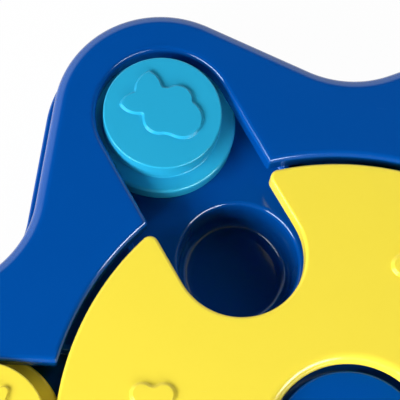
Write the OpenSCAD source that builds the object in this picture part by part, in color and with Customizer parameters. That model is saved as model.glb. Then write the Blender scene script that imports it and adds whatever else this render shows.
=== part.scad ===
// Dog puzzle feeder: a six-lobed tray with twelve treat cups, six sliding knobs and a notched turntable.
// Millimetres. Z is up, and the origin is on the table under the turntable's axis.

/* [Body plan] */
// Distance from the axis to the centre of each lobe, which is also the outer end of each slot
lobe_pitch = 130.6; // [128:0.1:133]
// Radius of each lobe of the top frame
lobe_r = 38.3; // [38:0.1:41]
// Distance from the axis to the centre of each valley's arc
valley_pitch = 166.9; // [165:0.1:169]
// Radius of each valley's arc
valley_r = 36.8; // [34:0.1:38]
// Width of the ledge of the tray that shows below the frame
ledge = 3.1; // [2:0.1:5]

/* [Heights] */
// Height of the top frame's upper face
frame_top = 40; // [38:0.1:44]
// Depth of the channel floors below the frame's upper face
floor_depth = 14; // [13.5:0.1:16]
// Height of the ledge on which the frame's skirt stands
ledge_z = 16; // [12:0.1:19]
// Height of the tray's lower edge, which is the thickness of the feet
foot_h = 2.5; // [2:0.1:4]

/* [Walls] */
// Thickness of the top frame
frame_wall = 2.8; // [2.2:0.1:3.4]
// Thickness of the tray's floor and outer wall
tray_wall = 2.6; // [2:0.1:3.2]
// Thickness of ribs, guide walls and turned-down lips
rib = 2.2; // [1.6:0.1:2.4]
// Radius of the frame's rounded outer rim
rim_r = 3.8; // [3:0.1:4.5]
// Radius of the frame's inner edges, along the slots and round the turntable
edge_r = 1.6; // [0.8:0.1:2]

/* [Turntable] */
// Outer radius of the turntable
disc_r = 98; // [96:0.1:99]
// Gap between the turntable and the frame
disc_gap = 2.8; // [1.5:0.1:4]
// Depth of the turntable's upper face below the frame's
disc_sink = 0.6; // [0:0.1:1.5]
// Thickness of the turntable's plate
disc_wall = 2.6; // [2:0.1:3]
// Depth of the turntable's outer skirt
disc_skirt = 6; // [5:0.1:6.5]
// Play of a knob in the notch, on each side
notch_play = 2; // [1:0.1:3]
// Distance from the axis to the centre of the notch's round end, and to each inner cup
notch_pitch = 74.6; // [73:0.1:76]
// Radius of the rounded corners where the notch meets the rim
horn_r = 3; // [2.8:0.1:5]
// Radius of the rolled edge along the notch
notch_edge_r = 2.4; // [1:0.1:2.5]
// Radius of the hole in the middle of the turntable
hole_r = 27.7; // [26.8:0.1:30]
// Radius of the rolled edge round that hole
hole_edge_r = 3.2; // [1.5:0.1:4]
// Rest angle of the notch
notch_angle = 120.7; // [119.5:0.1:121]

/* [Bone reliefs] */
// Distance from the axis to the middle of each bone
bone_pitch = 66; // [62:0.1:70]
// Distance between the knuckle centres at the two ends of a bone
bone_len = 29.6; // [24:0.1:34]
// Distance between the two knuckles at one end
knuckle_gap = 7.2; // [5:0.1:8]
// Radius of a knuckle
knuckle_r = 3.7; // [3:0.1:5]
// Width of a bone's shank
shank_w = 8; // [6:0.1:10]
// Height of all reliefs
relief_h = 1.4; // [0.8:0.1:2.2]

/* [Hub] */
// Radius of the spindle that the turntable turns on
spindle_r = 20; // [18:0.1:21]
// Radial clearance of the turntable on the spindle
run_fit = 0.05; // [0.03:0.01:0.1]
// Gap between the hub cap and the edge of the hole round it
cap_gap = 1.8; // [1.4:0.1:3]
// Depth of the hub cap's upper face below the turntable's
cap_sink = 5; // [4:0.1:6]
// Thickness of the hub cap
cap_wall = 2.3; // [1.8:0.1:2.8]
// Radius of the hub cap's stem
stem_r = 5; // [4:0.1:6]
// Thickness of the glide ring under the turntable
ring_h = 1.1; // [0.8:0.1:1.6]

/* [Sliders] */
// Radius of a slider's knob
knob_r = 20.5; // [19.5:0.1:21]
// Height of a knob above the turntable
knob_rise = 2.2; // [1:0.1:4]
// Radius of a slider's flange
flange_r = 26.8; // [26.4:0.1:27.4]
// Clearance between the turntable and the sliders' flanges below it
flange_gap = 1.2; // [0.8:0.1:1.6]
// Wall of a slider
slider_wall = 2; // [1.6:0.1:2.4]
// Play of a knob in its slot, on each side
slot_play = 3.2; // [2.6:0.1:3.6]
// Height of a slider's skirt above the channel floor
slider_lift = 0.3; // [0.2:0.1:0.5]
// Gap between the fourth slider, which rests pushed in, and the turntable's rim
pushed_gap = 2.5; // [1:0.1:12]
// How far the fourth slider rests to the side in its slot
pushed_aside = 1.8; // [0:0.1:2.2]

/* [Treat cups] */
// Depth of the cups below the channel floor
cup_depth = 17; // [12:0.1:18]
// Inner radius of a cup's mouth, where its rounded rim ends
cup_mouth_r = 22.7; // [21:0.1:24]
// Radius of a cup's rounded rim
cup_rim_r = 1.7; // [1:0.1:2.5]
// Narrowing of a cup from mouth to bottom, on the radius
cup_taper = 1; // [0.4:0.1:2]
// Radius between a cup's wall and bottom
cup_corner_r = 2.4; // [1:0.1:2.8]

/* [Fasteners and feet] */
// Distance of the case screws from the edge of the valleys
screw_inset = 13.1; // [11:0.1:15]
// Radius of a case screw's shank
screw_r = 1.5; // [1.2:0.1:1.8]
// Radius of a case screw's head
screw_head_r = 3.2; // [2.8:0.1:3.6]
// Height of a screw's head
screw_head_h = 2.2; // [1.6:0.1:2.6]
// Wall of the screw bosses
boss_wall = 2.4; // [2:0.1:3]
// Radius of a rubber foot
foot_r = 6; // [5:0.1:6.2]

/* [Hidden] */
$fn = 96;
eps = 0.5;            // how far a cutter runs past the face it cuts
seam = 0.02;          // gap between the swept stretches of the frame's skirt
cross = 0.01;         // how far the outline's flanks cross its arcs, instead of only touching them
arms = 6;             // lobes, slots, sliders, valleys, feet and case screws
turn = 360 / arms;
fit = 0.1;            // clearance of parts that are fastened to each other
slack = 0.3;          // clearance between the tray's walls and the frame

disc_top = frame_top - disc_sink;
floor_z = frame_top - floor_depth;
disc_low = disc_top - disc_skirt;
flange_z = disc_low - flange_gap;
knob_top = disc_top + knob_rise;
slider_low = floor_z + slider_lift;
recess_r = disc_r + disc_gap;
slot_r = knob_r + slot_play;
notch_r = knob_r + notch_play;
cap_r = hole_r - cap_gap;
channel_r = flange_r + slot_play;
guide_z = flange_z + flange_gap / 2;   // height of the channel walls, and of the lips' lower edges
cap_top = disc_top - cap_sink;
spindle_z = cap_top - cap_wall;
disc_seat = floor_z + ring_h + fit;
cup_r = cup_mouth_r - cup_rim_r;
cup_low = floor_z - cup_depth;
boss_r = screw_r + boss_wall;
under_floor = floor_z - tray_wall;
frame_low = frame_top - frame_wall;
lap = 0.8;            // how far the frame's plate reaches into the swept skirt's own flange
tray_edge = -frame_wall - slack;   // the tray's floor ends this far outside the outline
rib_depth = 8.4;      // depth of the straight ribs under the tray
round_rib_depth = 9;  // depth of the round ones
thin_rib = 1.8;       // thickness of the ribs under the frame, the turntable and the knobs
lobe_ribs = [-50, 0, 50];   // directions of the frame's ribs from each lobe's centre
valley_rib = 12;      // distance of the valleys' ribs from the valley's middle
screw_bite = 9;       // depth of the case screws' holes in the frame
tip_gap = 1;          // room left in a screw's hole past its tip
tip_r = 0.3;          // radius of a screw's blunt tip
drive_w = 0.8;        // width of the cross in a screw's head
washer_h = 1;         // thickness of the hub screw's washer
washer_lap = 3;       // how far the washer reaches past the hub cap's stem
disc_edge_r = 1.2;    // rounding of the turntable's outer edge
cap_edge_r = 1;       // rounding of the hub cap
knob_edge_r = 1.3;    // rounding of a knob's upper edge
knob_foot_r = 1.4;    // hollow rounding between a knob and its flange
flange_edge_r = 1.2;  // rounding of a flange
screw_sink = 4;       // depth of the bosses that the case screws' heads sit in
spindle_wall = 3;     // wall of the hollow spindle
foot_peg_r = foot_r / 2;
foot_peg = 4;         // length of a foot's peg
horn = [round(100 * sqrt(pow(disc_r - horn_r, 2) - pow(notch_r + horn_r, 2))) / 100, notch_r + horn_r];
screw_pitch = valley_pitch - valley_r - screw_inset;
pushed_in = lobe_pitch - disc_r - knob_r - pushed_gap;
rest_in = [0, 0, 0, pushed_in, 0, 0];            // how far each slider rests in from its slot's end
third_aside = 0.6;    // how far the third slider rests to the side in its slot
rest_aside = [0, 0, third_aside, -pushed_aside, 0, 0];   // and how far to the side
foot_z = flange_z + knob_foot_r;   // height at which a knob stands on its plate's collar
motif_turn = [30, 205, 0, 60, 310, 150];         // directions of the knobs' reliefs
post_pitch = lobe_pitch + cup_r + rib + foot_r + slack;   // distance from the axis to the feet

// The fruit relief: round parts as [x, y, radius], leaves as [x, y, direction, length, width].
fruit_parts = [[6.2, -2.2, 7], [5, 4, 5.6], [-2.2, -3.4, 5.4], [0, 1.5, 7.5]];
fruit_leaves = [[-5, 0, 87, 14.2, 9.6], [-2.5, 3.6, 187, 12.5, 8]];
// The carrot relief, along X: its thick and thin ends as [x, radius], and its leaves.
carrot_head = [-2, 6.4];
carrot_tip = [12.5, 1.8];
carrot_leaves = [[-6, 0, 150, 9.5, 4.6], [-6, 0, 180, 9.5, 4.6], [-6, 0, 210, 9.5, 4.6]];

// The outline is made of lobe arcs, valley arcs and the straight flanks between them.
valley = valley_pitch * [cos(turn / 2), sin(turn / 2)];
lobe = [lobe_pitch, 0];
span = norm(valley - lobe);
flank_dir = atan2(valley.y, valley.x - lobe_pitch) - acos((lobe_r + valley_r) / span);
flank_len = sqrt(span * span - pow(lobe_r + valley_r, 2));
flank_out = [cos(flank_dir), sin(flank_dir)];

function spun(p, a) = [p.x * cos(a) - p.y * sin(a), p.x * sin(a) + p.y * cos(a)];
function slot_angle(k) = turn * (k - 1);

module each_arm() {
    for (k = [1:arms]) rotate(slot_angle(k)) children();
}

module each_valley() {
    for (k = [1:arms]) rotate(slot_angle(k) + turn / 2) children();
}

// Sweeps a section along the outline: its x runs outward from the outline, its y is the height.
// The swept pieces end a hair apart, so that no two of their faces touch.
module around_outline() {
    each_arm() {
        translate([lobe_pitch, 0]) rotate(-flank_dir) rotate_extrude(angle = 2 * flank_dir)
            translate([lobe_r, 0]) children();
        for (side = [0, 1]) mirror([0, side, 0]) translate([lobe_pitch, 0]) rotate(flank_dir)
            translate([lobe_r, flank_len - seam, 0]) rotate([90, 0, 0])
                linear_extrude(flank_len - 2 * seam) children();
    }
    each_valley() translate([valley_pitch, 0]) rotate(180 + turn / 2 - flank_dir)
        rotate_extrude(angle = 2 * flank_dir - turn) translate([valley_r, 0]) mirror([1, 0]) children();
}

// The area inside the outline, moved outward by grow.
module outline(grow = 0) {
    near = [lobe + (lobe_r + grow - cross) * flank_out, valley - (valley_r - grow - cross) * flank_out];
    flip = [[near[1].x, -near[1].y], [near[0].x, -near[0].y]];
    difference() {
        union() {
            polygon([for (k = [1:arms]) for (p = concat(flip, near)) spun(p, slot_angle(k))]);
            each_arm() translate(lobe) circle(lobe_r + grow);
        }
        each_arm() translate(valley) circle(valley_r - grow);
    }
}

module layer(low, high) {
    translate([0, 0, low]) linear_extrude(high - low) children();
}

// A straight slot with round ends, along X.
module slot_shape(r, from, to) {
    translate([from, 0]) circle(r);
    translate([to, 0]) circle(r);
    translate([from, -r]) square([to - from, 2 * r]);
}

// What a rounded edge of radius r leaves out of a section, with the sharp corner at the origin.
module corner(r) {
    difference() {
        translate([-r, -r]) square([r + eps, r + eps]);
        translate([-r, -r]) circle(r);
    }
}

// Rounds the upper edge of a straight slot with one round end, from the middle of that end along X.
module slot_edge(r, to, top, edge) {
    rotate(90) rotate_extrude(angle = 180) translate([r, top]) mirror([1, 0]) corner(edge);
    for (side = [0, 1]) mirror([0, side, 0]) translate([0, r, top]) rotate([90, 0, 90])
        linear_extrude(to) mirror([1, 0]) corner(edge);
}

// ---- Tray ----

// The walls that stand on the tray's floor round the six channels.
module channel_guides() color("#0b4fa6") layer(floor_z, guide_z) intersection() {
    each_arm() difference() {
        slot_shape(channel_r + rib, notch_pitch, lobe_pitch);
        slot_shape(channel_r, notch_pitch, lobe_pitch);
    }
    outline(tray_edge);
}

module cup_place() {
    each_arm() for (x = [notch_pitch, lobe_pitch]) translate([x, 0]) children();
}

// A treat cup, pressed into the channel's floor.
module treat_cup() {
    wall_low = cup_low - rib;
    rotate_extrude() difference() {
        polygon([[0, wall_low], [cup_r - cup_taper + rib, wall_low], [cup_r + rib, under_floor],
                 [cup_r + rib, floor_z], [0, floor_z]]);
        translate([cup_r - cup_taper + rib, wall_low]) mirror([0, 1]) corner(cup_corner_r);
        difference() {
            polygon([[-eps, cup_low], [cup_r - cup_taper, cup_low], [cup_r, floor_z - cup_rim_r],
                     [cup_r, floor_z + eps], [-eps, floor_z + eps]]);
            translate([cup_r - cup_taper, cup_low]) mirror([0, 1]) corner(cup_corner_r);
        }
        translate([cup_r, floor_z]) mirror([1, 0]) corner(cup_rim_r);
    }
}

module treat_cups() color("#0b4fa6") cup_place() treat_cup();

module tray_shell() {
    layer(foot_h, ledge_z - tray_wall) difference() {
        outline(ledge);
        outline(ledge - tray_wall);
    }
    layer(ledge_z - tray_wall, ledge_z) difference() {
        outline(ledge);
        outline(tray_edge - tray_wall);
    }
    layer(ledge_z, under_floor) difference() {
        outline(tray_edge);
        outline(tray_edge - tray_wall);
    }
    layer(under_floor, floor_z) outline(tray_edge);
}

module tray_ribs() {
    rib_from = spindle_r + rib / 2;
    inner_cup = notch_pitch + cup_r + rib;
    outer_cup = lobe_pitch - cup_r - rib;
    layer(under_floor - round_rib_depth, under_floor + eps) {
        circle(spindle_r + rib);
        difference() {
            circle((inner_cup + outer_cup + rib) / 2);
            circle((inner_cup + outer_cup - rib) / 2);
        }
    }
    each_valley() layer(under_floor - rib_depth, under_floor + eps) translate([rib_from, -rib / 2])
        square([valley_pitch - valley_r + tray_edge - tray_wall / 2 - rib_from, rib]);
}

module base_tray() color("#0b4fa6") difference() {
    union() {
        tray_shell();
        tray_ribs();
        layer(floor_z - eps, spindle_z) circle(spindle_r);
        each_valley() layer(under_floor - screw_sink, under_floor + eps)
            translate([screw_pitch, 0]) circle(screw_head_r + boss_wall);
        each_arm() layer(foot_h, under_floor + eps) translate([post_pitch, 0]) circle(foot_r);
    }
    cup_place() layer(under_floor - eps, floor_z + eps) circle(cup_r + rib + fit);
    layer(floor_z, frame_top) circle(spindle_r - spindle_wall);
    layer(under_floor - round_rib_depth - eps, floor_z + eps) circle(stem_r + fit);
    layer(under_floor - round_rib_depth - eps, under_floor) circle(spindle_r);
    each_valley() translate([screw_pitch, 0]) {
        layer(0, under_floor) circle(screw_head_r + fit);
        layer(0, frame_top) circle(screw_r + fit);
    }
    each_arm() translate([post_pitch, 0]) layer(0, foot_h + foot_peg + fit) circle(foot_peg_r + fit);
}

// ---- Top frame ----

// The frame's skirt with its rounded rim, and the edge of its top plate.
module skirt_section() {
    low = frame_top - rim_r;
    difference() {
        union() {
            translate([-rim_r, low]) circle(rim_r);
            translate([-rim_r - 2 * lap, frame_low]) square([2 * lap, frame_wall]);
            translate([-frame_wall, ledge_z]) square([frame_wall, low - ledge_z]);
        }
        translate([-rim_r, low]) circle(rim_r - frame_wall);
        translate([-2 * rim_r, low - 2 * rim_r]) square([2 * rim_r - frame_wall, 2 * rim_r]);
        translate([-2 * rim_r, low - eps]) square([rim_r, rim_r - frame_wall + eps]);
    }
}

module lip_walls() {
    layer(guide_z, frame_low + eps) difference() {
        union() {
            circle(recess_r + rib);
            each_arm() slot_shape(slot_r + rib, notch_pitch, lobe_pitch);
        }
        circle(recess_r);
        each_arm() slot_shape(slot_r, notch_pitch, lobe_pitch);
    }
}

module frame_rib(from, to) {
    translate([from, -thin_rib / 2]) square([to - from, thin_rib]);
}

module frame_ribs() {
    layer(guide_z + slack, frame_low + eps) {
        each_arm() for (a = lobe_ribs) translate(lobe) rotate(a)
            frame_rib(slot_r + rib / 2, lobe_r - frame_wall / 2);
        each_valley() for (side = [-1, 1]) translate([0, side * valley_rib])
            frame_rib(recess_r + rib / 2, valley_pitch - valley_r - frame_wall / 2);
    }
}

module top_frame() color("#0b4fa6") difference() {
    union() {
        layer(frame_low, frame_top) outline(-rim_r - lap);
        around_outline() skirt_section();
        lip_walls();
        frame_ribs();
        each_valley() layer(floor_z, frame_low + eps) translate([screw_pitch, 0]) circle(boss_r);
    }
    layer(frame_low - eps, frame_top + eps) {
        circle(recess_r);
        each_arm() slot_shape(slot_r, notch_pitch, lobe_pitch);
    }
    rotate_extrude() translate([recess_r, frame_top]) mirror([1, 0]) corner(edge_r);
    each_arm() translate([lobe_pitch, 0]) mirror([1, 0])
        slot_edge(slot_r, lobe_pitch - recess_r, frame_top, edge_r);
    each_valley() layer(floor_z - eps, floor_z + screw_bite) translate([screw_pitch, 0]) circle(screw_r);
}

// ---- Turntable ----

// The notch with its flared mouth, along X; grow moves its sides into the turntable.
module notch_shape(grow = 0) {
    far = disc_r + 2 * horn_r;
    slot_shape(notch_r + grow, notch_pitch, far);
    for (side = [0, 1]) mirror([0, side]) difference() {
        polygon([horn, [horn.x, 0], [far, 0], far / norm(horn) * horn]);
        translate(horn) circle(horn_r - grow);
    }
}

module disc_shape(inset = 0) {
    difference() {
        circle(disc_r - inset);
        notch_shape(inset);
    }
}

module bone() {
    for (x = [-bone_len / 2, bone_len / 2], y = [-knuckle_gap / 2, knuckle_gap / 2])
        translate([x, y]) circle(knuckle_r);
    square([bone_len, shank_w], center = true);
}

// The dish that carries the turntable on the spindle.
module disc_hub() color("#f4dc48") rotate_extrude() {
    bore = spindle_r + run_fit;
    translate([hole_r, disc_seat]) square([rib, disc_low - disc_seat]);
    translate([bore, disc_seat]) square([hole_r + eps - bore, rib]);
    translate([bore, disc_seat]) square([rib, spindle_z - disc_seat - slack]);
}

module rotating_disc() color("#f4dc48") rotate(notch_angle) {
    difference() {
        union() {
            layer(disc_top - disc_wall, disc_top) difference() {
                disc_shape();
                circle(hole_r + rib / 2);
            }
            layer(disc_low, disc_top - eps) difference() {
                disc_shape();
                disc_shape(rib);
            }
            layer(disc_low + slack, disc_top - eps) intersection() {
                difference() {
                    disc_shape(rib / 2);
                    circle(hole_r + rib / 2);
                }
                for (k = [1:2 * arms]) rotate(turn / 2 * k + turn / 4) translate([hole_r, -thin_rib / 2])
                    square([disc_r - hole_r, thin_rib]);
            }
            rotate_extrude() {
                translate([hole_r, disc_low]) square([rib, disc_skirt - hole_edge_r]);
                translate([hole_r, disc_top - hole_edge_r]) square([hole_edge_r + eps, hole_edge_r]);
            }
            for (k = [1:arms - 1]) rotate(turn * k) translate([bone_pitch, 0])
                layer(disc_top - eps, disc_top + relief_h) rotate(90) bone();
        }
        rotate_extrude() {
            translate([disc_r, disc_top]) corner(disc_edge_r);
            translate([hole_r, disc_top]) mirror([1, 0]) corner(hole_edge_r);
        }
        translate([notch_pitch, 0]) slot_edge(notch_r, horn.x - notch_pitch, disc_top, notch_edge_r);
    }
}

// ---- Hub ----

module hub_cap() color("#0b4fa6") difference() {
    union() {
        rotate_extrude() difference() {
            translate([0, spindle_z]) square([cap_r, cap_wall]);
            translate([cap_r, cap_top]) corner(cap_edge_r);
        }
        layer(under_floor + fit, spindle_z + eps) circle(stem_r);
    }
    layer(under_floor, spindle_z) circle(screw_r);
}

module hub_washer() color("#b9bdc2") layer(under_floor - washer_h, under_floor) difference() {
    circle(stem_r + washer_lap);
    circle(screw_r + slack);
}

// A pan-head screw pointing up, with its head's seat at the height z, in a hole that ends at reach.
module screw(z, reach) {
    tip = reach - z - tip_gap;
    translate([0, 0, z]) {
        difference() {
            rotate_extrude() difference() {
                translate([0, -screw_head_h]) square([screw_head_r, screw_head_h]);
                translate([screw_head_r, -screw_head_h]) mirror([0, 1]) corner(screw_head_h / 2);
            }
            for (a = [0, 90]) rotate(a)
                translate([-screw_head_r / 2, -drive_w / 2, -screw_head_h - eps])
                    cube([screw_head_r, drive_w, screw_head_h / 2 + eps]);
        }
        cylinder(r = screw_r - fit, h = tip - screw_r);
        translate([0, 0, tip - screw_r]) cylinder(r1 = screw_r - fit, r2 = tip_r, h = screw_r);
    }
}

module hub_screw() color("#b9bdc2") screw(under_floor - washer_h, spindle_z);

module glide_ring() color("#f2f2ee") layer(floor_z, floor_z + ring_h) difference() {
    circle(hole_r + rib);
    circle(spindle_r + slack);
}

module case_screws() color("#b9bdc2") each_valley() translate([screw_pitch, 0])
    screw(under_floor, floor_z + screw_bite);

module foot(k) color("#1d1e20") rotate(slot_angle(k)) translate([post_pitch, 0]) rotate_extrude() {
    difference() {
        square([foot_r, foot_h]);
        translate([foot_r, 0]) mirror([0, 1]) corner(foot_h / 2);
    }
    square([foot_peg_r, foot_h + foot_peg]);
}

// ---- Sliders ----

// A knob, hollow from below, with a cross of ribs inside.
module knob_shell() {
    rotate_extrude() difference() {
        translate([0, foot_z]) square([knob_r, knob_top - foot_z]);
        translate([knob_r, knob_top]) corner(knob_edge_r);
        translate([-eps, foot_z - eps]) square([knob_r - slider_wall + eps, knob_top - slider_wall - foot_z + eps]);
    }
    for (a = [0, 90]) rotate(a) translate([slider_wall / 2 - knob_r, -thin_rib / 2, foot_z])
        cube([2 * knob_r - slider_wall, thin_rib, knob_top - slider_wall / 2 - foot_z]);
}

// The plate that slides in the channel, with the collar that a knob stands on.
module plate_shell() {
    rotate_extrude() difference() {
        union() {
            translate([knob_r - slider_wall, slider_low])
                square([flange_r - knob_r + slider_wall, flange_z - slider_low]);
            translate([knob_r - slider_wall, flange_z - eps]) square([slider_wall, knob_foot_r + eps]);
            difference() {
                translate([knob_r - eps, flange_z - eps]) square(knob_foot_r + eps);
                translate([knob_r + knob_foot_r, flange_z + knob_foot_r]) circle(knob_foot_r);
            }
        }
        translate([flange_r, flange_z]) corner(flange_edge_r);
        translate([0, slider_low - eps])
            square([flange_r - slider_wall, flange_z - slider_wall - slider_low + eps]);
    }
}

// A pointed leaf along X, where two circles cross.
module leaf(len, width) {
    r = (len * len / width + width) / 4;
    intersection() {
        translate([len / 2, r - width / 2]) circle(r);
        translate([len / 2, width / 2 - r]) circle(r);
    }
}

module leaves(list) {
    for (f = list) translate([f[0], f[1]]) rotate(f[2]) leaf(f[3], f[4]);
}

module fruit() {
    for (p = fruit_parts) translate([p.x, p.y]) circle(p.z);
    leaves(fruit_leaves);
}

module carrot() {
    for (e = [carrot_head, carrot_tip]) translate([e[0], 0]) circle(e[1]);
    polygon([[carrot_head[0], -carrot_head[1]], [carrot_tip[0], -carrot_tip[1]],
             [carrot_tip[0], carrot_tip[1]], [carrot_head[0], carrot_head[1]]]);
    leaves(carrot_leaves);
}

module slider_place(k) color(k % 2 == 1 ? "#2fa8d6" : "#f4dc48")
    rotate(slot_angle(k)) translate([lobe_pitch - rest_in[k - 1], rest_aside[k - 1]]) children();

module slider(k) slider_place(k) {
    knob_shell();
    rotate(motif_turn[k - 1] - slot_angle(k)) layer(knob_top - eps, knob_top + relief_h)
        if (k % 2 == 1) fruit();
        else carrot();
}

module slide_plate(k) slider_place(k) plate_shell();

base_tray();
top_frame();
rotating_disc();
disc_hub();
hub_cap();
hub_screw();
hub_washer();
glide_ring();
treat_cups();
channel_guides();
slider(1);  // slider_1
slider(2);  // slider_2
slider(3);  // slider_3
slider(4);  // slider_4
slider(5);  // slider_5
slider(6);  // slider_6
slide_plate(1);  // slide_plate_1
slide_plate(2);  // slide_plate_2
slide_plate(3);  // slide_plate_3
slide_plate(4);  // slide_plate_4
slide_plate(5);  // slide_plate_5
slide_plate(6);  // slide_plate_6
case_screws();
foot(1);  // foot_1
foot(2);  // foot_2
foot(3);  // foot_3
foot(4);  // foot_4
foot(5);  // foot_5
foot(6);  // foot_6
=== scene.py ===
import bpy
import bmesh
import math
import numpy as np
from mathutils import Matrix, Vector


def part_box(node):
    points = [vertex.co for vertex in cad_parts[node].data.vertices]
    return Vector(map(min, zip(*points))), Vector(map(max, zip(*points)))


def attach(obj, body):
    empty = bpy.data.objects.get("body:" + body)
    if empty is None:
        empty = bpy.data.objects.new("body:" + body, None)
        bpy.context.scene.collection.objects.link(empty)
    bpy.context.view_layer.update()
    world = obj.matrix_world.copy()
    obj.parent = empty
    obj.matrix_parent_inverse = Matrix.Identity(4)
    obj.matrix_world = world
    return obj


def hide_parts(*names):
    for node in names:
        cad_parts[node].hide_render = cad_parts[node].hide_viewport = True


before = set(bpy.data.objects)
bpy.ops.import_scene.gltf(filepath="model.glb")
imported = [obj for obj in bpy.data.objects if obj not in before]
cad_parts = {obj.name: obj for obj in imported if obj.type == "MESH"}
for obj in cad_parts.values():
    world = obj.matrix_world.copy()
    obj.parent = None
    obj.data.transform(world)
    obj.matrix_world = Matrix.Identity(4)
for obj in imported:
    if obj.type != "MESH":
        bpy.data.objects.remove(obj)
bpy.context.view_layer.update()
print("frame loaded:", len(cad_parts), "nodes")

mm = 0.001
arms = 6
turn = 360 / arms
weld = 0.002 * mm           # vertices closer than this are one
sameHeight = 0.001 * mm     # an edge within this of a height lies at it

# The toy's plan in millimetres, the same for every piece that follows it.
plan = {
    "lobePitch": 130.6,     # axis to the centre of a lobe, where its slot ends
    "lobeR": 38.3,
    "valleyPitch": 166.9,   # axis to the centre of a valley's arc
    "valleyR": 36.8,
    "discR": 98.0,
    "discGap": 2.8,         # turntable to frame
    "knobR": 20.5,
    "slotPlay": 3.2,        # knob to the side of its slot
    "notchPlay": 2.0,       # knob to the side of the notch
    "notchPitch": 74.6,     # axis to the centre of the notch's round end
    "notchAngle": 120.7,    # where the notch rests
    "relief": 1.4,          # height of the raised pictures
}


def nodeTop(name):
    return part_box(name)[1].z / mm


def nodeLow(name):
    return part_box(name)[0].z / mm


frameTop = nodeTop("top_frame")
ledgeTop = nodeLow("top_frame")
discTop = nodeTop("rotating_disc") - plan["relief"]
capTop = nodeTop("hub_cap")
knobTop = nodeTop("slider_1") - plan["relief"]
sliderLow = nodeLow("slide_plate_1")


def arc(cx, cy, r, start, end, steps):
    a = np.radians(np.linspace(start, end, steps + 1))
    return np.stack([cx + r * np.cos(a), cy + r * np.sin(a)], 1)


def spin(points, degrees):
    a = math.radians(degrees)
    c, s = math.cos(a), math.sin(a)
    return points @ np.array([[c, s], [-s, c]])


def flankAngle():
    half = math.radians(turn / 2)
    vx = plan["valleyPitch"] * math.cos(half) - plan["lobePitch"]
    vy = plan["valleyPitch"] * math.sin(half)
    reach = math.acos((plan["lobeR"] + plan["valleyR"]) / math.hypot(vx, vy))
    return math.degrees(math.atan2(vy, vx) - reach)


def lobedLoop(inset, lobeSteps=44, valleySteps=22):
    # six lobe arcs and six valley arcs; the straight flanks lie between their ends
    out = flankAngle()
    lobe = arc(plan["lobePitch"], 0, plan["lobeR"] - inset, -out, out, lobeSteps)
    valley = arc(plan["valleyPitch"], 0, plan["valleyR"] + inset,
                 180 + out - turn / 2, 180 - out + turn / 2, valleySteps)
    pieces = []
    for k in range(arms):
        pieces += [spin(lobe, turn * k), spin(valley, turn * (k + 0.5))]
    return np.concatenate(pieces)


def slottedLoop(grow, horn, recessSteps=18, slotSteps=40, hornSteps=4):
    # the frame's opening: the round recess with six slots, and horns where they meet
    recess = plan["discR"] + plan["discGap"]
    slot = plan["knobR"] + plan["slotPlay"]
    r, s = recess + grow, slot + grow
    if grow < horn:
        cx, cy = math.sqrt((recess + horn) ** 2 - (slot + horn) ** 2), slot + horn
        tip = arc(cx, cy, horn - grow, -90, math.degrees(math.atan2(-cy, -cx)), hornSteps)
    else:
        tip = np.tile([[math.sqrt(r * r - s * s), s]], (hornSteps + 1, 1))
    mouth = math.degrees(math.atan2(tip[-1][1], tip[-1][0]))
    side = np.concatenate([
        (tip * [1, -1])[::-1],
        arc(plan["lobePitch"], 0, s, -90, 90, slotSteps),
        tip,
        arc(0, 0, r, mouth, turn - mouth, recessSteps)[1:-1],
    ])
    return np.concatenate([spin(side, turn * k) for k in range(arms)])


def discOutline(edge, notchEdge, horn, rimSteps=200, notchSteps=44, hornSteps=10):
    # outline of the turntable with its notch: points, outward normals and edge radius at each point
    r, w, far = plan["discR"], plan["knobR"] + plan["notchPlay"], plan["notchPitch"]
    hx, hy = math.sqrt((r - horn) ** 2 - (w + horn) ** 2), w + horn
    mouth = math.degrees(math.atan2(hy, hx))
    rim = arc(0, 0, 1, mouth, 360 - mouth, rimSteps)
    end = arc(0, 0, 1, 270, 90, notchSteps)
    blend = np.linspace(0, 1, hornSteps, endpoint=False)
    lower = arc(0, 0, 1, -mouth, 90, hornSteps)[1:]
    upper = arc(0, 0, 1, -90, mouth, hornSteps)[:-1]
    points = np.concatenate([
        rim * r,
        lower * horn + [hx, -hy],
        end * w + [far, 0],
        upper * horn + [hx, hy],
    ])
    normals = np.concatenate([rim, lower, -end, upper])
    radii = np.concatenate([
        np.full(len(rim), edge),
        edge + (notchEdge - edge) * (blend + 1 / hornSteps),
        np.full(len(end), notchEdge),
        notchEdge + (edge - notchEdge) * blend,
    ])
    return points, normals, radii


def traced(field, start, step=0.35):
    # follows a field's zero line counter-clockwise: points a step apart and their outward normals
    limit = {"nudge": 0.01, "flattest": 1e-6, "settleSteps": 6, "mostPoints": 2000, "leastPoints": 10}

    def slope(p):
        h = limit["nudge"]
        gx = (field(p[0] + h, p[1]) - field(p[0] - h, p[1])) / (2 * h)
        gy = (field(p[0], p[1] + h) - field(p[0], p[1] - h)) / (2 * h)
        return np.array([gx, gy])

    def settle(p):
        for _ in range(limit["settleSteps"]):
            g = slope(p)
            p = p - g * field(*p) / max(g @ g, limit["flattest"])
        return p

    p = settle(np.array(start, float))
    points = [p]
    while len(points) < limit["mostPoints"]:
        g = slope(p)
        g = g / np.linalg.norm(g)
        p = settle(p + step * np.array([-g[1], g[0]]))
        if len(points) > limit["leastPoints"] and np.linalg.norm(p - points[0]) < step:
            break
        points.append(p)
    normals = [slope(q) for q in points]
    return np.array(points), np.array([n / np.linalg.norm(n) for n in normals])


def softMin(a, b, k):
    h = max(k - abs(a - b), 0) / k
    return min(a, b) - h * h * k / 4


def softMax(a, b, k):
    return -softMin(-a, -b, k)


def dot(x, y, cx, cy, r):
    return math.hypot(x - cx, y - cy) - r


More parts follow.
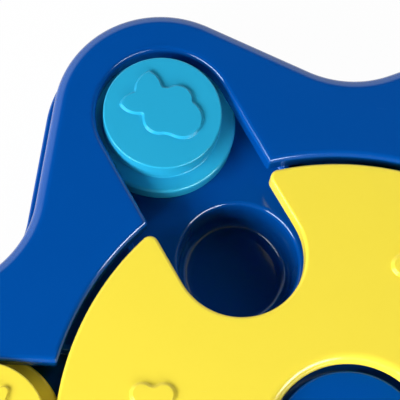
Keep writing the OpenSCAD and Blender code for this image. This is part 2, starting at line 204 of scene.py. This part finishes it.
def leafField(x, y, cx, cy, degrees, length, width, k=0.15):
    a = math.radians(degrees)
    u = (x - cx) * math.cos(a) + (y - cy) * math.sin(a) - length / 2
    v = (y - cy) * math.cos(a) - (x - cx) * math.sin(a)
    r = (length * length / width + width) / 4
    return softMax(dot(u, v, 0, r - width / 2, r), dot(u, v, 0, width / 2 - r, r), k)


def addLoop(bm, xy, z):
    heights = np.broadcast_to(z, len(xy))
    return [bm.verts.new((x * mm, y * mm, h * mm)) for (x, y), h in zip(xy, heights)]


def bridge(bm, low, high):
    for i in range(len(low)):
        j = (i + 1) % len(low)
        bm.faces.new((low[i], low[j], high[j], high[i]))


def skin(bm, loops):
    for low, high in zip(loops, loops[1:]):
        bridge(bm, low, high)


def quarter(steps):
    return [math.radians(90 * i / steps) for i in range(steps + 1)]


def wallToLevel(x, z, dx, dz, steps):
    # profile of a quarter round that leaves a wall at x and ends level at z
    return [(x + dx * (1 - math.cos(a)), z + dz * (1 - math.sin(a))) for a in quarter(steps)]


def levelToWall(x, z, dx, dz, steps):
    # profile of a quarter round that starts level at z and ends in a wall at x
    return [(x + dx * (1 - math.sin(a)), z + dz * (1 - math.cos(a))) for a in quarter(steps)]


def capAt(bm, z):
    # fills the flat region between the open edges at one height
    bmesh.ops.remove_doubles(bm, verts=bm.verts[:], dist=weld)
    rim = [e for e in bm.edges if e.is_boundary
           and all(abs(v.co.z - z * mm) < sameHeight for v in e.verts)]
    bmesh.ops.triangle_fill(bm, use_beauty=True, use_dissolve=False, edges=rim)


def lathe(bm, profile, cx=0.0, cy=0.0, steps=96):
    ring = arc(0, 0, 1, 0, 360, steps)[:-1]
    loops = []
    for r, z in profile:
        loops.append(addLoop(bm, ring * r + [cx, cy], z))
    skin(bm, loops)
    return loops


def embossed(bm, outline, base, height, at, degrees, slope=0.85, steps=8):
    # raises a picture out of a flat face, with a soft slope that ends in both
    outside = 0.45      # share of the slope outside the outline
    points, normals = outline
    loops = []
    for i in range(steps + 1):
        t = i / steps
        loops.append((slope * (outside - t), base + height * (1 - math.cos(math.pi * t)) / 2))
    skin(bm, [addLoop(bm, spin(points + normals * out, degrees) + at, z) for out, z in loops])


def addObject(name, bm):
    mesh = bpy.data.meshes.new(name)
    bm.to_mesh(mesh)
    bm.free()
    made = bpy.data.objects.new(name, mesh)
    bpy.context.scene.collection.objects.link(made)
    return made


def makePiece(name, bm, nodes, body, material):
    look = {"sharpFrom": 32, "flatWeight": 80}
    bmesh.ops.remove_doubles(bm, verts=bm.verts[:], dist=weld)
    bmesh.ops.recalc_face_normals(bm, faces=bm.faces[:])
    piece = addObject(name, bm)
    piece.data.shade_smooth()
    piece.data.set_sharp_from_angle(angle=math.radians(look["sharpFrom"]))
    piece.data.materials.append(material)
    weighted = piece.modifiers.new("flatFaces", "WEIGHTED_NORMAL")
    weighted.keep_sharp = True
    weighted.weight = look["flatWeight"]
    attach(piece, body)
    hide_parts(*nodes)


def newGroup(name, inputs, outputs):
    group = bpy.data.node_groups.new(name, "ShaderNodeTree")
    for label, kind, value in inputs:
        socket = group.interface.new_socket(label, in_out="INPUT", socket_type=kind)
        socket.default_value = value
    for label, kind in outputs:
        group.interface.new_socket(label, in_out="OUTPUT", socket_type=kind)
    start = group.nodes.new("NodeGroupInput")
    end = group.nodes.new("NodeGroupOutput")
    return group, start, end


def wire(tree, source, target):
    tree.links.new(source, target)


def math2(tree, operation, a, b):
    node = tree.nodes.new("ShaderNodeMath")
    node.operation = operation
    for socket, value in zip(node.inputs, (a, b)):
        if isinstance(value, (int, float)):
            socket.default_value = value
        else:
            wire(tree, value, socket)
    return node.outputs[0]


def mouldGroup():
    # slow waviness and fine orange peel of injection-moulded plastic, and a soft mottle
    look = {"waveDetail": 1.5, "peelDetail": 3, "peelHeight": 0.06,
            "mottleSize": 38, "mottleDetail": 4, "mottleMean": 0.5}
    group, start, end = newGroup("mouldedSurface", [
        ("Wave Size", "NodeSocketFloat", 60.0),
        ("Peel Size", "NodeSocketFloat", 1100.0),
        ("Roughness", "NodeSocketFloat", 0.2),
        ("Roughness Spread", "NodeSocketFloat", 0.05),
    ], [("Height", "NodeSocketFloat"), ("Roughness", "NodeSocketFloat"), ("Mottle", "NodeSocketFloat")])
    place = group.nodes.new("ShaderNodeTexCoord")
    wave = group.nodes.new("ShaderNodeTexNoise")
    peel = group.nodes.new("ShaderNodeTexNoise")
    cloud = group.nodes.new("ShaderNodeTexNoise")
    for node in (wave, peel, cloud):
        wire(group, place.outputs["Object"], node.inputs["Vector"])
    wire(group, start.outputs["Wave Size"], wave.inputs["Scale"])
    wire(group, start.outputs["Peel Size"], peel.inputs["Scale"])
    wave.inputs["Detail"].default_value = look["waveDetail"]
    peel.inputs["Detail"].default_value = look["peelDetail"]
    cloud.inputs["Scale"].default_value = look["mottleSize"]
    cloud.inputs["Detail"].default_value = look["mottleDetail"]
    height = math2(group, "ADD", wave.outputs["Fac"],
                   math2(group, "MULTIPLY", peel.outputs["Fac"], look["peelHeight"]))
    spread = math2(group, "MULTIPLY",
                   math2(group, "SUBTRACT", cloud.outputs["Fac"], look["mottleMean"]),
                   start.outputs["Roughness Spread"])
    wire(group, height, end.inputs["Height"])
    wire(group, math2(group, "ADD", start.outputs["Roughness"], spread), end.inputs["Roughness"])
    wire(group, cloud.outputs["Fac"], end.inputs["Mottle"])
    return group


def scuffGroup():
    # hair-fine scratches in two directions, in rare patches
    look = {"lines": ((25, 0.04), (-52, 0.05)),     # turn in degrees, and squeeze along the scratch
            "hair": 0.0018, "patchSize": 45, "patchesFrom": 0.66}
    group, start, end = newGroup("finePlasticScuffs", [
        ("Scratch Size", "NodeSocketFloat", 26.0),
        ("Scratch Amount", "NodeSocketFloat", 0.5),
    ], [("Scratches", "NodeSocketFloat")])
    place = group.nodes.new("ShaderNodeTexCoord")
    lines = []
    for turned, squeeze in look["lines"]:
        mapping = group.nodes.new("ShaderNodeMapping")
        mapping.inputs["Rotation"].default_value[2] = math.radians(turned)
        mapping.inputs["Scale"].default_value = (squeeze, 1.0, 1.0)
        cells = group.nodes.new("ShaderNodeTexVoronoi")
        cells.feature = "DISTANCE_TO_EDGE"
        wire(group, place.outputs["Object"], mapping.inputs["Vector"])
        wire(group, mapping.outputs["Vector"], cells.inputs["Vector"])
        wire(group, start.outputs["Scratch Size"], cells.inputs["Scale"])
        hair = math2(group, "LESS_THAN", cells.outputs["Distance"], look["hair"])
        patch = group.nodes.new("ShaderNodeTexNoise")
        patch.inputs["Scale"].default_value = look["patchSize"] + turned
        wire(group, place.outputs["Object"], patch.inputs["Vector"])
        rare = math2(group, "GREATER_THAN", patch.outputs["Fac"], look["patchesFrom"])
        lines.append(math2(group, "MULTIPLY", hair, rare))
    both = math2(group, "MAXIMUM", *lines)
    wire(group, math2(group, "MULTIPLY", both, start.outputs["Scratch Amount"]), end.inputs["Scratches"])
    return group


def placedGroup(group, tree, values):
    node = tree.nodes.new("ShaderNodeGroup")
    node.node_tree = group
    for label, value in values.items():
        node.inputs[label].default_value = value
    return node


def newMaterial(name):
    material = bpy.data.materials.new(name)
    material.use_nodes = True
    return material, material.node_tree, material.node_tree.nodes["Principled BSDF"]


def mixedColor(tree, factor, low, high):
    # the Mix node keeps its colour sockets behind those for numbers and vectors
    node = tree.nodes.new("ShaderNodeMix")
    node.data_type = "RGBA"
    factorIn, lowIn, highIn, mixed = node.inputs[0], node.inputs[6], node.inputs[7], node.outputs[2]
    wire(tree, factor, factorIn)
    for socket, value in ((lowIn, low), (highIn, high)):
        if isinstance(value, tuple):
            socket.default_value = (*value, 1)
        else:
            wire(tree, value, socket)
    return mixed


def addBump(tree, shader, height, strength, depth):
    bump = tree.nodes.new("ShaderNodeBump")
    bump.inputs["Strength"].default_value = strength
    bump.inputs["Distance"].default_value = depth * mm
    wire(tree, height, bump.inputs["Height"])
    wire(tree, bump.outputs["Normal"], shader.inputs["Normal"])


mould = mouldGroup()
scuffs = scuffGroup()


def plastic(name, look):
    same = {"ior": 1.5, "spread": 0.05, "bump": 0.3, "depth": 0.05,
            "scuffColor": 0.25, "scuffRoughness": 0.12}
    material, tree, shader = newMaterial(name)
    surface = placedGroup(mould, tree, {"Roughness": look["roughness"], "Roughness Spread": same["spread"]})
    scratches = placedGroup(scuffs, tree, {"Scratch Amount": look["scratches"]}).outputs["Scratches"]
    tone = mixedColor(tree, surface.outputs["Mottle"], look["shade"], look["color"])
    worn = mixedColor(tree, math2(tree, "MULTIPLY", scratches, same["scuffColor"]), tone, look["scuff"])
    wire(tree, worn, shader.inputs["Base Color"])
    roughness = math2(tree, "ADD", surface.outputs["Roughness"],
                      math2(tree, "MULTIPLY", scratches, same["scuffRoughness"]))
    wire(tree, roughness, shader.inputs["Roughness"])
    addBump(tree, shader, surface.outputs["Height"], same["bump"], same["depth"])
    shader.inputs["IOR"].default_value = same["ior"]
    shader.inputs["Specular IOR Level"].default_value = look["specular"]
    shader.inputs["Specular Tint"].default_value = (*look["tint"], 1)
    return material


bluePlastic = plastic("bluePlastic", {
    "color": (0.0003, 0.075, 0.365), "shade": (0.0002, 0.070, 0.345), "scuff": (0.05, 0.20, 0.55),
    "roughness": 0.12, "scratches": 0.5, "specular": 0.7, "tint": (0.68, 0.84, 1.0),
})
yellowPlastic = plastic("yellowPlastic", {
    "color": (0.94, 0.765, 0.064), "shade": (0.92, 0.745, 0.059), "scuff": (0.55, 0.42, 0.02),
    "roughness": 0.24, "scratches": 0.3, "specular": 0.5, "tint": (1.0, 1.0, 1.0),
})
cyanPlastic = plastic("cyanPlastic", {
    "color": (0.022, 0.40, 0.665), "shade": (0.020, 0.385, 0.645), "scuff": (0.2, 0.6, 0.85),
    "roughness": 0.2, "scratches": 0.3, "specular": 0.5, "tint": (0.55, 0.9, 1.0),
})
whitePlastic = plastic("whitePlastic", {
    "color": (0.80, 0.80, 0.77), "shade": (0.78, 0.78, 0.75), "scuff": (0.6, 0.6, 0.6),
    "roughness": 0.3, "scratches": 0.3, "specular": 0.5, "tint": (1.0, 1.0, 1.0),
})


def grained(name, look):
    # one colour, with a fine grain in its roughness and in its surface
    material, tree, shader = newMaterial(name)
    place = tree.nodes.new("ShaderNodeTexCoord")
    grain = tree.nodes.new("ShaderNodeTexNoise")
    grain.inputs["Scale"].default_value = look["grain"]
    wire(tree, place.outputs["Object"], grain.inputs["Vector"])
    shader.inputs["Base Color"].default_value = (*look["color"], 1)
    shader.inputs["Metallic"].default_value = look["metallic"]
    spread = math2(tree, "MULTIPLY", grain.outputs["Fac"], look["spread"])
    wire(tree, math2(tree, "ADD", spread, look["roughness"]), shader.inputs["Roughness"])
    addBump(tree, shader, grain.outputs["Fac"], look["bump"], look["depth"])
    return material


steel = grained("platedSteel", {
    "color": (0.60, 0.61, 0.63), "metallic": 1, "roughness": 0.28, "spread": 0.15,
    "grain": 900.0, "bump": 0.2, "depth": 0.02,
})
rubber = grained("footRubber", {
    "color": (0.018, 0.018, 0.02), "metallic": 0, "roughness": 0.72, "spread": 0.12,
    "grain": 1400.0, "bump": 0.5, "depth": 0.05,
})
print("materials made")


def buildFrame():
    look = {"wall": 2.8, "rimR": 4.5, "edgeR": 2.1, "lip": 2.2, "horn": 1.0,
            "lipDepth": 7.2,      # from the upper face to the lower edge of the lips
            "rimSteps": 9, "edgeSteps": 7}
    top, under, lipLow = frameTop, frameTop - look["wall"], frameTop - look["lipDepth"]
    wall, rim, edge, lip = look["wall"], look["rimR"], look["edgeR"], look["lip"]
    bm = bmesh.new()
    outer = [(0, ledgeTop)] + wallToLevel(0, top, rim, -rim, look["rimSteps"])
    skin(bm, [addLoop(bm, lobedLoop(inset), z) for inset, z in outer])
    inner = [(0, ledgeTop), (wall, ledgeTop), (wall, top - rim), (rim, under)]
    skin(bm, [addLoop(bm, lobedLoop(inset), z) for inset, z in inner])
    hole = levelToWall(0, top, edge, -edge, look["edgeSteps"]) + [(0, lipLow), (lip, lipLow), (lip, under)]
    skin(bm, [addLoop(bm, slottedLoop(grow, look["horn"]), z) for grow, z in hole])
    capAt(bm, top)
    capAt(bm, under)
    makePiece("topFrame", bm, ["top_frame"], "base", bluePlastic)


def stadium(r, steps=36):
    return np.concatenate([arc(plan["notchPitch"], 0, r, 90, 270, steps),
                           arc(plan["lobePitch"], 0, r, -90, 90, steps)])


def closedRing(bm, inner, outer, low, high, cx=0.0, cy=0.0, steps=96):
    # a ring whose upper end is buried in the floor above it
    lathe(bm, [(inner, high), (inner, low), (outer, low), (outer, high)], cx, cy, steps)


def ribBox(bm, start, end, width, low, high, degrees):
    corners = np.array([[start, -width / 2], [end, -width / 2], [end, width / 2], [start, width / 2]])
    loops = [addLoop(bm, spin(corners, degrees), z) for z in (low, high)]
    bridge(bm, *loops)
    bm.faces.new(loops[0][::-1])


def buildTray():
    look = {"ledge": 3.1, "reach": 3.1, "wall": 2.6, "rib": 2.2, "ledgeEdge": 0.9, "footEdge": 0.5,
            "channelR": 30.0, "guideEdge": 0.5, "guideFoot": 0.9, "guideCut": 2.4,
            "mouthR": 22.7, "rimR": 1.7, "taper": 1.0, "cornerR": 5.0, "cupDepth": 17.0,
            "spindleR": 20.0, "spindleWall": 3.0, "wellDepth": 9.0, "ribDepth": 8.4,
            "boreR": 5.1, "screwPitch": 117.0, "headR": 3.3, "bossR": 5.6, "bossDepth": 4.0,
            "postPitch": 160.1, "postR": 6.0, "pinholeR": 0.01,
            "bury": 0.4,        # how far ribs, bosses and posts reach into the floor
            "ribGap": 1.0,      # rib to screw head
            "ribEnd": 4.4,      # rib to valley
            "edgeSteps": 6, "guideSteps": 4, "cupSteps": 112, "backSteps": 72,
            "ringSteps": 144, "bossSteps": 40, "postSteps": 48}
    floorTop = nodeTop("treat_cups")
    guideTop = nodeTop("channel_guides") - look["guideCut"]
    spindleTop = nodeTop("base_tray")
    low = nodeLow("base_tray")
    under = floorTop - look["wall"]
    rib, steps = look["rib"], look["edgeSteps"]
    bm = bmesh.new()

    # outer wall with its ledge, and the inside of both
    side, e, f = -look["ledge"], look["ledgeEdge"], look["footEdge"]
    outer = [(side + look["wall"], low), (side + f, low), (side, low + f)]
    outer += wallToLevel(side, ledgeTop, e, -e, steps)
    outer += [(look["reach"], ledgeTop), (look["reach"], floorTop)]
    skin(bm, [addLoop(bm, lobedLoop(inset), z) for inset, z in outer])
    inner = [(side + look["wall"], low), (side + look["wall"], ledgeTop - look["wall"]),
             (look["reach"] + look["wall"], ledgeTop - look["wall"]), (look["reach"] + look["wall"], under)]
    skin(bm, [addLoop(bm, lobedLoop(inset), z) for inset, z in inner])

    # guide walls round the channels
    c, g, h = look["channelR"], look["guideEdge"], look["guideFoot"]
    wall = [(c + rib, floorTop)]
    wall += wallToLevel(c + rib, guideTop, -g, -g, look["guideSteps"])
    wall += levelToWall(c, guideTop, g, -g, look["guideSteps"])
    wall += wallToLevel(c, floorTop, -h, h, look["guideSteps"])
    for k in range(arms):
        skin(bm, [addLoop(bm, spin(stadium(r), turn * k), z) for r, z in wall])

    # cups with rolled rims
    r, q = look["mouthR"] - look["rimR"], look["cornerR"]
    foot = r - look["taper"]
    cupLow = floorTop - look["cupDepth"]
    cup = levelToWall(r, floorTop, look["rimR"], -look["rimR"], steps)
    cup += wallToLevel(foot, cupLow, -q, q, steps)
    back = levelToWall(foot + rib, cupLow - rib, -q, q, steps)
    back.append((r + rib, under))
    for k in range(arms):
        for pitch in (plan["notchPitch"], plan["lobePitch"]):
            cx, cy = spin(np.array([[pitch, 0.0]]), turn * k)[0]
            lathe(bm, cup, cx, cy, look["cupSteps"])
            lathe(bm, back, cx, cy, look["backSteps"])

    # spindle, and the well under it
    spindle = look["spindleR"]
    bore, wellLow = spindle - look["spindleWall"], under - look["wellDepth"]
    lathe(bm, [(spindle + rib, under), (spindle + rib, wellLow), (spindle, wellLow), (spindle, under),
               (look["boreR"], under), (look["boreR"], floorTop), (bore, floorTop), (bore, spindleTop),
               (spindle, spindleTop), (spindle, floorTop)])
    for z in (floorTop, under, cupLow, cupLow - rib):
        capAt(bm, z)

    # ribs, screw bosses and foot posts
    bury = under + look["bury"]
    ring = (plan["notchPitch"] + plan["lobePitch"]) / 2
    closedRing(bm, ring - rib / 2, ring + rib / 2, wellLow, bury, steps=look["ringSteps"])
    for k in range(arms):
        across = turn * (k + 0.5)
        ends = ((spindle + rib / 2, look["screwPitch"] - look["headR"] - look["ribGap"]),
                (look["screwPitch"] + look["headR"] + look["ribGap"],
                 plan["valleyPitch"] - plan["valleyR"] - look["ribEnd"]))
        for start, end in ends:
            ribBox(bm, start, end, rib, under - look["ribDepth"], bury, across)
        cx, cy = spin(np.array([[look["screwPitch"], 0.0]]), across)[0]
        bossLow = under - look["bossDepth"]
        closedRing(bm, look["headR"], look["bossR"], bossLow, bury, cx, cy, look["bossSteps"])
        cx, cy = spin(np.array([[look["postPitch"], 0.0]]), turn * k)[0]
        post = [(look["pinholeR"], low), (look["postR"], low), (look["postR"], bury)]
        lathe(bm, post, cx, cy, look["postSteps"])
    makePiece("tray", bm, ["base_tray", "treat_cups", "channel_guides"], "base", bluePlastic)


def boneField(x, y):
    look = {"length": 29.6, "gap": 7.2, "knuckle": 3.7, "shank": 8.0, "soft": 3.0}
    x, y = abs(x), abs(y)
    knuckle = dot(x, y, look["length"] / 2, look["gap"] / 2, look["knuckle"])
    mirrored = dot(x, y, look["length"] / 2, -look["gap"] / 2, look["knuckle"])
    ends = softMin(knuckle, mirrored, look["soft"])
    shank = max(x - look["length"] / 2, y - look["shank"] / 2)
    return softMin(ends, shank, look["soft"])


def buildDisc():
    look = {"edgeR": 1.2, "notchEdgeR": 1.2, "horn": 3.0, "skirt": 6.0, "wall": 2.6, "rib": 2.2,
            "holeR": 27.7, "holeEdgeR": 3.7, "curl": 1.0,
            "bonePitch": 66.0, "boneHeight": 1.15, "boneSlope": 1.4, "boneTurn": 90, "boneFrom": (0, 5),
            "edgeSteps": 8, "curlSteps": 4, "holeSteps": 144}
    top, low, under = discTop, discTop - look["skirt"], discTop - look["wall"]
    rib, hole, edge, curl = look["rib"], look["holeR"], look["holeEdgeR"], look["curl"]
    points, normals, radii = discOutline(look["edgeR"], look["notchEdgeR"], look["horn"])
    bm = bmesh.new()

    def loop(inset, z):
        shifted = points - normals * np.broadcast_to(inset, len(points))[:, None]
        return addLoop(bm, spin(shifted, plan["notchAngle"]), z)

    walls = [loop(rib, under), loop(rib, low), loop(0, low)]
    for inset, z in wallToLevel(0, top, radii, -radii, look["edgeSteps"]):
        walls.append(loop(inset, z))
    skin(bm, walls)
    # the hole's edge rolls down and curls under
    lip = levelToWall(hole, top, edge, -edge, look["edgeSteps"])
    for a in quarter(look["curlSteps"])[1:]:
        lip.append((hole + curl * (1 - math.cos(a)), top - edge - curl * math.sin(a)))
    lip += [(hole + rib, top - edge - curl), (hole + rib, top - edge), (hole + edge, under)]
    lathe(bm, lip, steps=look["holeSteps"])
    bone = traced(boneField, look["boneFrom"])
    for k in range(1, arms):
        along = plan["notchAngle"] + turn * k
        at = spin(np.array([[look["bonePitch"], 0.0]]), along)[0]
        embossed(bm, bone, top, look["boneHeight"], at, along + look["boneTurn"], look["boneSlope"])
    capAt(bm, top)
    capAt(bm, under)
    capAt(bm, top + look["boneHeight"])
    makePiece("turntable", bm, ["rotating_disc"], "disc", yellowPlastic)


def buildHub():
    # the turntable's bearing: it hangs under the plate, runs on the spindle and rests on the glide ring
    look = {"boreR": 20.05, "rib": 2.2, "wellR": 32.4, "sleeveTop": 31.8, "plate": 2.6, "steps": 144}
    seat, under, sleeve = nodeLow("disc_hub"), discTop - look["plate"], look["sleeveTop"]
    bore, rib, well = look["boreR"], look["rib"], look["wellR"]
    bm = bmesh.new()
    loops = lathe(bm, [(bore, sleeve), (bore, seat), (well + rib, seat), (well + rib, under), (well, under),
                       (well, seat + rib), (bore + rib, seat + rib), (bore + rib, sleeve)],
                  steps=look["steps"])
    bridge(bm, loops[-1], loops[0])
    makePiece("hub", bm, ["disc_hub"], "disc", bluePlastic)


def buildCap():
    look = {"r": 25.9, "wall": 2.3, "edgeR": 1.0, "stemR": 5.0, "bore": 1.5, "edgeSteps": 5, "steps": 128}
    low, stemLow = capTop - look["wall"], nodeLow("hub_cap")
    r, edge, stem, bore = look["r"], look["edgeR"], look["stemR"], look["bore"]
    bm = bmesh.new()
    profile = [(bore, low), (bore, stemLow), (stem, stemLow), (stem, low), (r, low)]
    profile += wallToLevel(r, capTop, -edge, -edge, look["edgeSteps"])
    lathe(bm, profile, steps=look["steps"])
    capAt(bm, capTop)
    # what is still open is the blind end of the screw's bore
    blind = [e for e in bm.edges if e.is_boundary]
    bmesh.ops.triangle_fill(bm, use_beauty=True, use_dissolve=False, edges=blind)
    makePiece("hubCap", bm, ["hub_cap"], "base", bluePlastic)


def fruitField(x, y):
    look = {"soft": 0.8, "blend": 0.5,
            "parts": ((6.7, -2.3, 7.1), (4.9, 4.7, 5.3), (-1.3, -2.8, 5.4), (2.4, -2.6, 5.6),
                      (0.0, 1.5, 7.5)),
            "leaves": ((-5.2, 0.0, 90, 15.0, 9.4), (-2.5, 3.6, 187, 12.5, 8.0))}
    body = dot(x, y, *look["parts"][0])
    for part in look["parts"][1:]:
        body = softMin(body, dot(x, y, *part), look["blend"])
    for leaf in look["leaves"]:
        body = softMin(body, leafField(x, y, *leaf), look["soft"])
    return body


def carrotField(x, y):
    look = {"soft": 1.2, "head": (-2.0, 6.4), "tip": (12.5, 1.8), "crown": (-6, 0),
            "leaves": ((150, 9.5, 4.6), (180, 9.5, 4.6), (210, 9.5, 4.6))}
    x0, r0 = look["head"]
    x1, r1 = look["tip"]
    along = min(max((x - x0) / (x1 - x0), 0), 1)
    root = math.hypot(x - x0 - along * (x1 - x0), y) - (r0 + (r1 - r0) * along)
    for leaf in look["leaves"]:
        root = softMin(root, leafField(x, y, *look["crown"], *leaf), look["soft"])
    return root


def buildSlider(k, fruit, carrot):
    look = {"knobR": 20.65, "knobEdge": 0.6, "foot": 0.4, "flangeR": 26.2, "flangeEdge": 1.2,
            "flangeDrop": 9.0,      # from the knob's face to the flange
            "wall": 2.0, "motifTurn": (30, 205, 0, 60, 310, 150), "motifHeight": 1.1,
            "knobSteps": 6, "flangeSteps": 5, "steps": 128}
    lo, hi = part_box(f"slider_{k}")
    cx, cy = (lo.x + hi.x) / 2 / mm, (lo.y + hi.y) / 2 / mm
    flange = knobTop - look["flangeDrop"]
    r, f, wall = look["knobR"], look["flangeR"], look["wall"]
    foot, edge, flangeEdge = look["foot"], look["knobEdge"], look["flangeEdge"]
    profile = [(r - wall, knobTop - wall), (r - wall, flange - wall), (f - wall, flange - wall),
               (f - wall, sliderLow), (f, sliderLow)]
    profile += wallToLevel(f, flange, -flangeEdge, -flangeEdge, look["flangeSteps"])
    profile += levelToWall(r, flange, foot, foot, look["flangeSteps"])
    profile += wallToLevel(r, knobTop, -edge, -edge, look["knobSteps"])
    bm = bmesh.new()
    lathe(bm, profile, cx, cy, look["steps"])
    motif = fruit if k % 2 else carrot
    embossed(bm, motif, knobTop, look["motifHeight"], [cx, cy], look["motifTurn"][k - 1])
    for z in (knobTop, knobTop + look["motifHeight"], knobTop - wall):
        capAt(bm, z)
    material = cyanPlastic if k % 2 else yellowPlastic
    makePiece(f"slider{k}", bm, [f"slider_{k}", f"slide_plate_{k}"], f"slider_body_{k}", material)


buildTray()
print("tray built")
buildFrame()
print("frame built")
buildDisc()
buildHub()
buildCap()
print("turntable and cap built")
traceFrom = {"fruit": (14, 0), "carrot": (15, 0)}
fruit = traced(fruitField, traceFrom["fruit"])
carrot = traced(carrotField, traceFrom["carrot"])
for k in range(1, arms + 1):
    buildSlider(k, fruit, carrot)
print("sliders built")

nodeLooks = {"glide_ring": whitePlastic, "hub_screw": steel, "hub_washer": steel, "case_screws": steel}
for k in range(1, arms + 1):
    nodeLooks[f"foot_{k}"] = rubber
for name, material in nodeLooks.items():
    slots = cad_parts[name].data.materials
    slots.clear()
    slots.append(material)


def buildFloor():
    # seen by the camera and in gloss it glows white, and it keeps the object's soft shadow
    look = {"size": 30.0, "drop": 0.05, "color": (0.9, 0.9, 0.9, 1), "glow": (1, 1, 1, 1),
            "seen": 0.975, "mirrored": 0.97}
    bm = bmesh.new()
    bmesh.ops.create_grid(bm, x_segments=1, y_segments=1, size=look["size"])
    floor = addObject("floor", bm)
    material = bpy.data.materials.new("paleFloor")
    material.use_nodes = True
    tree = material.node_tree
    tree.nodes.clear()
    output = tree.nodes.new("ShaderNodeOutputMaterial")
    matte = tree.nodes.new("ShaderNodeBsdfDiffuse")
    matte.inputs["Color"].default_value = look["color"]
    glow = tree.nodes.new("ShaderNodeEmission")
    glow.inputs["Color"].default_value = look["glow"]
    path = tree.nodes.new("ShaderNodeLightPath")
    mix = tree.nodes.new("ShaderNodeMixShader")
    seen = math2(tree, "MULTIPLY", path.outputs["Is Camera Ray"], look["seen"])
    mirrored = math2(tree, "MULTIPLY", path.outputs["Is Glossy Ray"], look["mirrored"])
    wire(tree, math2(tree, "ADD", seen, mirrored), mix.inputs[0])
    wire(tree, matte.outputs[0], mix.inputs[1])
    wire(tree, glow.outputs[0], mix.inputs[2])
    # from below the floor is clear, so that the underside can be seen
    clear = tree.nodes.new("ShaderNodeBsdfTransparent")
    below = tree.nodes.new("ShaderNodeMixShader")
    wire(tree, tree.nodes.new("ShaderNodeNewGeometry").outputs["Backfacing"], below.inputs[0])
    wire(tree, mix.outputs[0], below.inputs[1])
    wire(tree, clear.outputs[0], below.inputs[2])
    wire(tree, below.outputs[0], output.inputs["Surface"])
    floor.data.materials.append(material)
    floor.location.z = -look["drop"] * mm


def buildLights():
    lamps = {
        "keyLeft": {"azimuth": -147, "elevation": 28, "distance": 1.3, "size": (1.0, 0.5), "power": 26,
                    "gloss": True, "matte": True},
        "keyRight": {"azimuth": -41, "elevation": 27, "distance": 1.3, "size": (1.0, 0.40), "power": 26,
                     "gloss": True, "matte": False},
        "front": {"azimuth": -85, "elevation": 20, "distance": 1.3, "size": (1.0, 0.3), "power": 10,
                  "gloss": False, "matte": True},
        "fillTop": {"azimuth": 50, "elevation": 42, "distance": 1.6, "size": (1.2, 1.2), "power": 6,
                    "gloss": False, "matte": True},
    }
    for name, lamp in lamps.items():
        a, e = math.radians(lamp["azimuth"]), math.radians(lamp["elevation"])
        out = Vector((math.cos(a) * math.cos(e), math.sin(a) * math.cos(e), math.sin(e)))
        light = bpy.data.lights.new(name, "AREA")
        light.shape = "RECTANGLE"
        light.size, light.size_y = lamp["size"]
        light.energy = lamp["power"]
        holder = bpy.data.objects.new(name, light)
        holder.location = out * lamp["distance"]
        holder.rotation_mode = "QUATERNION"
        holder.rotation_quaternion = out.to_track_quat("Z", "Y")
        holder.visible_glossy = lamp["gloss"]
        holder.visible_diffuse = lamp["matte"]
        bpy.context.scene.collection.objects.link(holder)


def ramp(tree, value, start, end, low, high):
    node = tree.nodes.new("ShaderNodeMapRange")
    node.interpolation_type = "SMOOTHSTEP"
    for label, number in (("From Min", start), ("From Max", end), ("To Min", low), ("To Max", high)):
        node.inputs[label].default_value = number
    wire(tree, value, node.inputs["Value"])
    return node.outputs["Result"]


def buildWorld():
    # white behind the object, dim light all round, and a pale wall on the far side for gloss and edges
    look = {"fill": 0.008, "wall": 1.0, "foot": 1.3, "rise": 0.5, "paleUpTo": 0.45, "darkFrom": 0.78,
            "facing": (-0.17, 0.985, 0.0), "fadeFrom": 0.25, "fadeTo": 0.75, "wallLight": 1.1}
    world = bpy.data.worlds.new("studio")
    bpy.context.scene.world = world
    world.use_nodes = True
    tree = world.node_tree
    back = tree.nodes["Background"]
    path = tree.nodes.new("ShaderNodeLightPath")
    place = tree.nodes.new("ShaderNodeTexCoord")
    split = tree.nodes.new("ShaderNodeSeparateXYZ")
    wire(tree, place.outputs["Generated"], split.inputs[0])
    up = ramp(tree, split.outputs["Z"], look["paleUpTo"], look["darkFrom"], 1.0, 0.0)
    toward = tree.nodes.new("ShaderNodeVectorMath")
    toward.operation = "DOT_PRODUCT"
    toward.inputs[1].default_value = look["facing"]
    wire(tree, place.outputs["Generated"], toward.inputs[0])
    side = ramp(tree, toward.outputs["Value"], look["fadeFrom"], look["fadeTo"], 0.0, look["wall"])
    wall = math2(tree, "MULTIPLY", up, side)
    rising = math2(tree, "ADD", math2(tree, "MULTIPLY", split.outputs["Z"], look["rise"]), look["foot"])
    gloss = math2(tree, "MULTIPLY", path.outputs["Is Glossy Ray"], rising)
    strength = math2(tree, "MAXIMUM", gloss, look["wallLight"])
    level = tree.nodes.new("ShaderNodeMix")
    wire(tree, path.outputs["Is Camera Ray"], level.inputs["Factor"])
    wire(tree, math2(tree, "ADD", math2(tree, "MULTIPLY", wall, strength), look["fill"]), level.inputs["A"])
    level.inputs["B"].default_value = 1.0
    wire(tree, level.outputs["Result"], back.inputs["Strength"])
    back.inputs["Color"].default_value = (1, 1, 1, 1)


def buildCamera():
    look = {"place": (-90.17, -97.54, 561.66), "turned": (0.3288153, -0.0797654, 0.0206338),
            "lens": 145.9, "sensor": 36, "farClip": 100}
    camera = bpy.data.cameras.new("camera")
    camera.lens = look["lens"]
    camera.sensor_width = look["sensor"]
    camera.clip_end = look["farClip"]
    holder = bpy.data.objects.new("camera", camera)
    holder.location = Vector(look["place"]) * mm
    holder.rotation_euler = look["turned"]
    bpy.context.scene.collection.objects.link(holder)
    bpy.context.scene.camera = holder


buildFloor()
buildLights()
buildWorld()
buildCamera()
bpy.context.scene.view_settings.view_transform = "Standard"
print("stage built")
